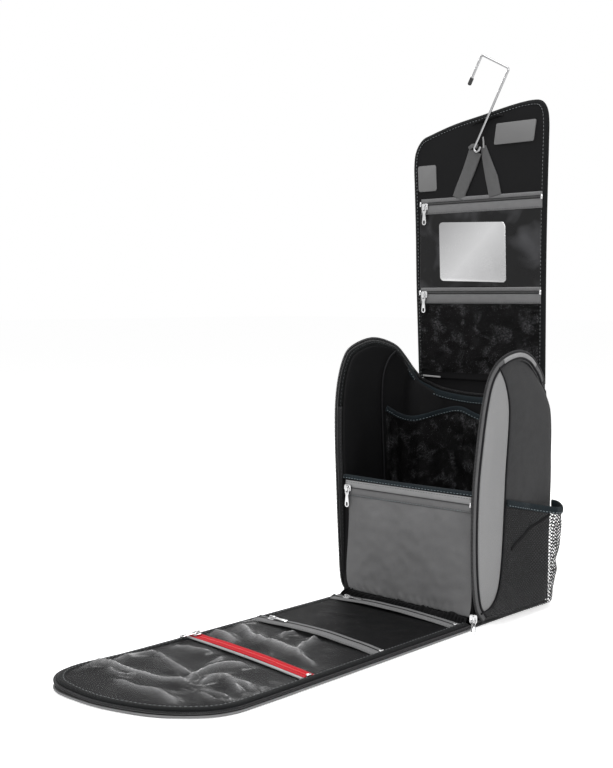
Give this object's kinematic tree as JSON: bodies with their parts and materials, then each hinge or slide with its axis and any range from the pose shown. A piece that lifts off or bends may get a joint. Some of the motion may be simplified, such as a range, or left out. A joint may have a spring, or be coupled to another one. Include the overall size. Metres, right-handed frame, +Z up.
{
  "type": "hanging toiletry bag",
  "caption": "Hanging toiletry bag opened out: arched body with pockets, fold-out front flap with clear and net pockets, stand-up panel with mirror, strap and wire hook.",
  "frame": {"origin": "middle of the underside of the bag's body, on the surface it stands on", "axes": "+Z up, +Y from the front flap to the back panel, +X across the front to the right as seen from the front"},
  "size_m": [0.2322, 0.565, 0.628],
  "materials": {
    "bright_metal": "polished zip sliders, pullers and hook wire",
    "red_zip": "red woven zip tape with its coil",
    "grey_zip": "grey woven zip tape with its coil",
    "light_cloth": "light grey woven cloth",
    "dark_cloth": "dark grey woven cloth",
    "grey_cloth": "mid grey woven cloth",
    "mesh_net": "open black net",
    "clear_vinyl": "clear soft sheet",
    "mirror_face": "mirror sheet",
    "board": "stiffening board",
    "grip_cloth": "hook-and-loop pad",
    "webbing": "grey woven webbing",
    "black_sleeve": "soft black sleeve",
    "gloss_cloth": "glossy black coated cloth",
    "black_lining": "black lining cloth, padded"
  },
  "bodies": {
    "bag_body": {"back_board": "board", "back_lining": "black_lining", "back_shell": "dark_cloth", "base_board": "board", "base_panel": "dark_cloth", "edge_zip_left": "grey_zip", "edge_zip_right": "grey_zip", "front_pocket": "grey_cloth", "front_wall": "black_lining", "front_zip_chain": "grey_zip", "inner_mesh_pocket": "mesh_net", "mesh_pocket_left": "mesh_net", "mesh_pocket_right": "mesh_net", "side_accent_left": "light_cloth", "side_accent_right": "light_cloth", "side_lining_left": "black_lining", "side_lining_right": "black_lining", "side_rear_left": "dark_cloth", "side_rear_right": "dark_cloth", "swoop_band": "grey_zip"},
    "flap_lower": {"flap_lower_shell": "grey_cloth", "flap_lower_padding": "black_lining", "flap_mesh_pocket": "mesh_net", "clear_pocket_upper": "clear_vinyl", "flap_zip_one_chain": "grey_zip", "flap_zip_two_chain": "grey_zip", "flap_zip_three_chain": "red_zip"},
    "flap_middle": {"flap_middle_shell": "grey_cloth", "flap_middle_padding": "black_lining", "clear_pocket_middle": "clear_vinyl"},
    "flap_tip": {"flap_tip_shell": "grey_cloth", "flap_tip_padding": "black_lining", "clear_pocket_tip": "clear_vinyl"},
    "panel_lower": {"panel_lower": "black_lining", "panel_mesh_pocket": "mesh_net", "lower_zip_chain": "grey_zip"},
    "panel_middle": {"panel_middle": "black_lining", "gloss_pocket": "gloss_cloth", "mirror_glass": "mirror_face", "upper_zip_chain": "grey_zip"},
    "panel_top": {"panel_top": "black_lining", "grip_pad_left": "grip_cloth", "grip_pad_right": "grip_cloth", "hanging_strap": "webbing"},
    "hook": {"hook_wire": "bright_metal", "hook_tip": "black_sleeve"},
    "front_zip_slider": {"front_zip_slider": "bright_metal"},
    "front_zip_puller": {"front_zip_puller": "bright_metal"},
    "upper_zip_slider": {"upper_zip_slider": "bright_metal"},
    "upper_zip_puller": {"upper_zip_puller": "bright_metal"},
    "lower_zip_slider": {"lower_zip_slider": "bright_metal"},
    "lower_zip_puller": {"lower_zip_puller": "bright_metal"},
    "flap_zip_one_slider": {"flap_zip_one_slider": "bright_metal"},
    "flap_zip_one_puller": {"flap_zip_one_puller": "bright_metal"},
    "flap_zip_two_slider": {"flap_zip_two_slider": "bright_metal"},
    "flap_zip_two_puller": {"flap_zip_two_puller": "bright_metal"},
    "flap_zip_three_slider": {"flap_zip_three_slider": "bright_metal"},
    "flap_zip_three_puller": {"flap_zip_three_puller": "bright_metal"},
    "main_zip_slider": {"main_zip_slider": "bright_metal"},
    "main_zip_puller": {"main_zip_puller": "bright_metal"}
  },
  "joints": [
    {"name": "flap_fold_base", "type": "hinge", "parent": "bag_body", "child": "flap_lower", "pos_m": [0, -0.084, 0.013], "axis": [-1, 0, 0], "range_deg": [0, 90]},
    {"name": "flap_fold_middle", "type": "hinge", "parent": "flap_lower", "child": "flap_middle", "pos_m": [0, -0.342, 0.008], "axis": [-1, 0, 0], "range_deg": [0, 56]},
    {"name": "flap_fold_tip", "type": "hinge", "parent": "flap_middle", "child": "flap_tip", "pos_m": [0, -0.422, 0.008], "axis": [-1, 0, 0], "range_deg": [0, 51]},
    {"name": "panel_fold_base", "type": "hinge", "parent": "bag_body", "child": "panel_lower", "pos_m": [0, 0.063, 0.252], "axis": [1, 0, 0], "range_deg": [0, 90]},
    {"name": "panel_fold_middle", "type": "hinge", "parent": "panel_lower", "child": "panel_middle", "pos_m": [0, 0.063, 0.365], "axis": [1, 0, 0], "range_deg": [0, 90]},
    {"name": "panel_fold_top", "type": "hinge", "parent": "panel_middle", "child": "panel_top", "pos_m": [0, 0.063, 0.471], "axis": [1, 0, 0], "range_deg": [0, 35]},
    {"name": "hook_swing", "type": "hinge", "parent": "panel_top", "child": "hook", "pos_m": [-0.0037, 0.061, 0.5212], "axis": [0, 1, 0], "range_deg": [-75, 38]},
    {"name": "front_zip_slide", "type": "slide", "parent": "bag_body", "child": "front_zip_slider", "axis": [1, 0, 0], "range_m": [0, 0.158]},
    {"name": "front_zip_tag", "type": "hinge", "parent": "front_zip_slider", "child": "front_zip_puller", "pos_m": [-0.08, -0.07935, 0.131], "axis": [-1, 0, 0], "range_deg": [0, 180]},
    {"name": "upper_zip_slide", "type": "slide", "parent": "panel_middle", "child": "upper_zip_slider", "axis": [1, 0, 0], "range_m": [0, 0.158]},
    {"name": "upper_zip_tag", "type": "hinge", "parent": "upper_zip_slider", "child": "upper_zip_puller", "pos_m": [-0.08, 0.06115, 0.458], "axis": [-1, 0, 0], "range_deg": [0, 110]},
    {"name": "lower_zip_slide", "type": "slide", "parent": "panel_lower", "child": "lower_zip_slider", "axis": [1, 0, 0], "range_m": [0, 0.158]},
    {"name": "lower_zip_tag", "type": "hinge", "parent": "lower_zip_slider", "child": "lower_zip_puller", "pos_m": [-0.08, 0.06115, 0.352], "axis": [-1, 0, 0], "range_deg": [0, 110]},
    {"name": "flap_zip_one_slide", "type": "slide", "parent": "flap_lower", "child": "flap_zip_one_slider", "axis": [0.9997, -0.0262, 0], "range_m": [0, 0.145]},
    {"name": "flap_zip_one_tag", "type": "hinge", "parent": "flap_zip_one_slider", "child": "flap_zip_one_puller", "pos_m": [-0.06498, -0.09525, 0.01085], "axis": [-0.0262, -0.9997, 0], "range_deg": [0, 180]},
    {"name": "flap_zip_two_slide", "type": "slide", "parent": "flap_lower", "child": "flap_zip_two_slider", "axis": [0.9994, -0.0349, 0], "range_m": [0, 0.144]},
    {"name": "flap_zip_two_tag", "type": "hinge", "parent": "flap_zip_two_slider", "child": "flap_zip_two_puller", "pos_m": [-0.06396, -0.2167, 0.01085], "axis": [-0.0349, -0.9994, 0], "range_deg": [0, 180]},
    {"name": "flap_zip_three_slide", "type": "slide", "parent": "flap_lower", "child": "flap_zip_three_slider", "axis": [0.9962, -0.0872, 0], "range_m": [0, 0.161]},
    {"name": "flap_zip_three_tag", "type": "hinge", "parent": "flap_zip_three_slider", "child": "flap_zip_three_puller", "pos_m": [-0.08068, -0.30877, 0.01085], "axis": [-1, 0, 0], "range_deg": [0, 180]},
    {"name": "main_zip_slide", "type": "slide", "parent": "bag_body", "child": "main_zip_slider", "axis": [0, 0, 1], "range_m": [0, 0.207]},
    {"name": "main_zip_tag", "type": "hinge", "parent": "main_zip_slider", "child": "main_zip_puller", "pos_m": [0.09788, -0.08131, 0.012], "axis": [-0.809, -0.5878, 0], "range_deg": [0, 88]}
  ],
  "couplings": [
    {"joint": "flap_fold_middle", "follows": "flap_fold_base", "ratio": 0.61111},
    {"joint": "flap_fold_tip", "follows": "flap_fold_base", "ratio": 0.55556}
  ]
}
